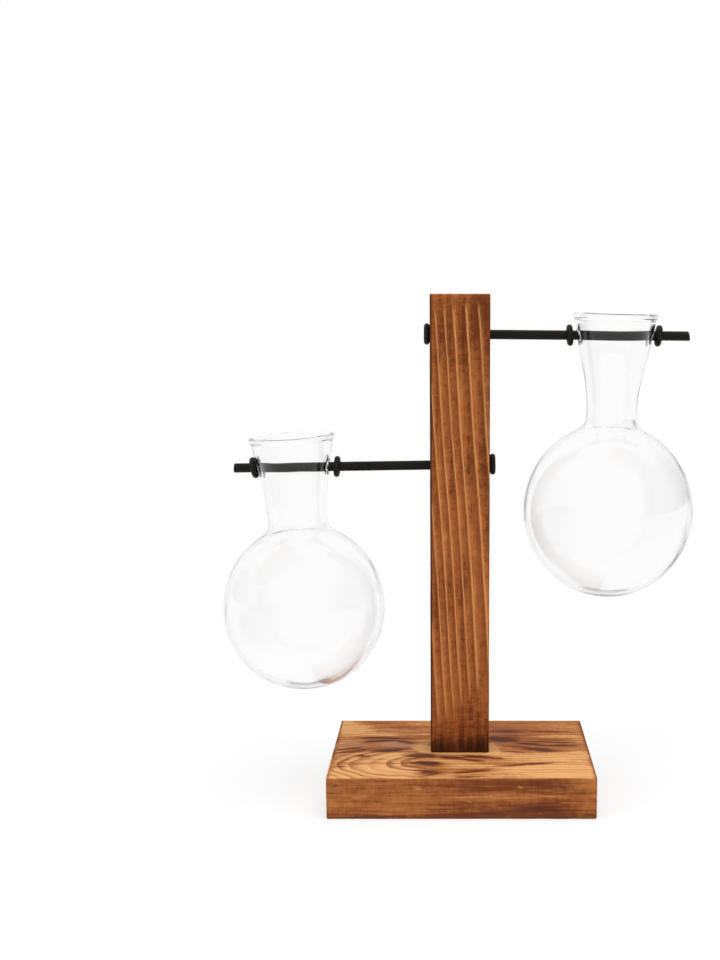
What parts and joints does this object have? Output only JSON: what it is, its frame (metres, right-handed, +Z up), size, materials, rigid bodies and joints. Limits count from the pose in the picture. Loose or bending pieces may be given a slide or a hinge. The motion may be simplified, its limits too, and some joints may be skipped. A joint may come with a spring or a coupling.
{
  "type": "propagation vase",
  "caption": "Round clear glass vases with flared necks hang on thin black rods through a dark wooden post on a slab base, held by rubber rings, for rooting cuttings in water.",
  "frame": {"origin": "middle of the slab's underside", "axes": "+Z up along the post, +X along the slab's long side towards the upper vase, +Y away from the front"},
  "size_m": [0.1871, 0.07, 0.2],
  "materials": {
    "charred_wood": "satin, lightly charred pine",
    "screw_steel": "zinc plated",
    "black_rod": "satin black paint",
    "black_rubber": "matt",
    "clear_glass": "clear, blown"
  },
  "bodies": {
    "stand": {"base_slab": "charred_wood", "post": "charred_wood", "base_screws": "screw_steel", "upper_rod": "black_rod", "upper_post_ring": "black_rubber", "lower_rod": "black_rod", "lower_post_ring": "black_rubber"},
    "upper_inner_ring": {"upper_inner_ring": "black_rubber"},
    "upper_vase": {"upper_vase": "clear_glass"},
    "upper_outer_ring": {"upper_outer_ring": "black_rubber"},
    "lower_inner_ring": {"lower_inner_ring": "black_rubber"},
    "lower_vase": {"lower_vase": "clear_glass"},
    "lower_outer_ring": {"lower_outer_ring": "black_rubber"}
  },
  "joints": [
    {"name": "upper_set_slide", "type": "slide", "parent": "stand", "child": "upper_inner_ring", "axis": [1, 0, -0.0084], "range_m": [-0.0115, 0.0495]},
    {"name": "upper_vase_swing", "type": "hinge", "parent": "upper_inner_ring", "child": "upper_vase", "pos_m": [0.06, 0, 0.18389], "axis": [1, 0, -0.0084], "continuous": true},
    {"name": "upper_outer_ring_slide", "type": "slide", "parent": "upper_vase", "child": "upper_outer_ring", "axis": [1, 0, -0.0084], "range_m": [0, 0.015]},
    {"name": "lower_set_slide", "type": "slide", "parent": "stand", "child": "lower_inner_ring", "axis": [-0.9999, 0, -0.0152], "range_m": [-0.016, 0.0435]},
    {"name": "lower_vase_swing", "type": "hinge", "parent": "lower_inner_ring", "child": "lower_vase", "pos_m": [-0.06639, 0, 0.1321], "axis": [-0.9999, 0, -0.0152], "continuous": true},
    {"name": "lower_outer_ring_slide", "type": "slide", "parent": "lower_vase", "child": "lower_outer_ring", "axis": [-0.9999, 0, -0.0152], "range_m": [0, 0.011]}
  ]
}
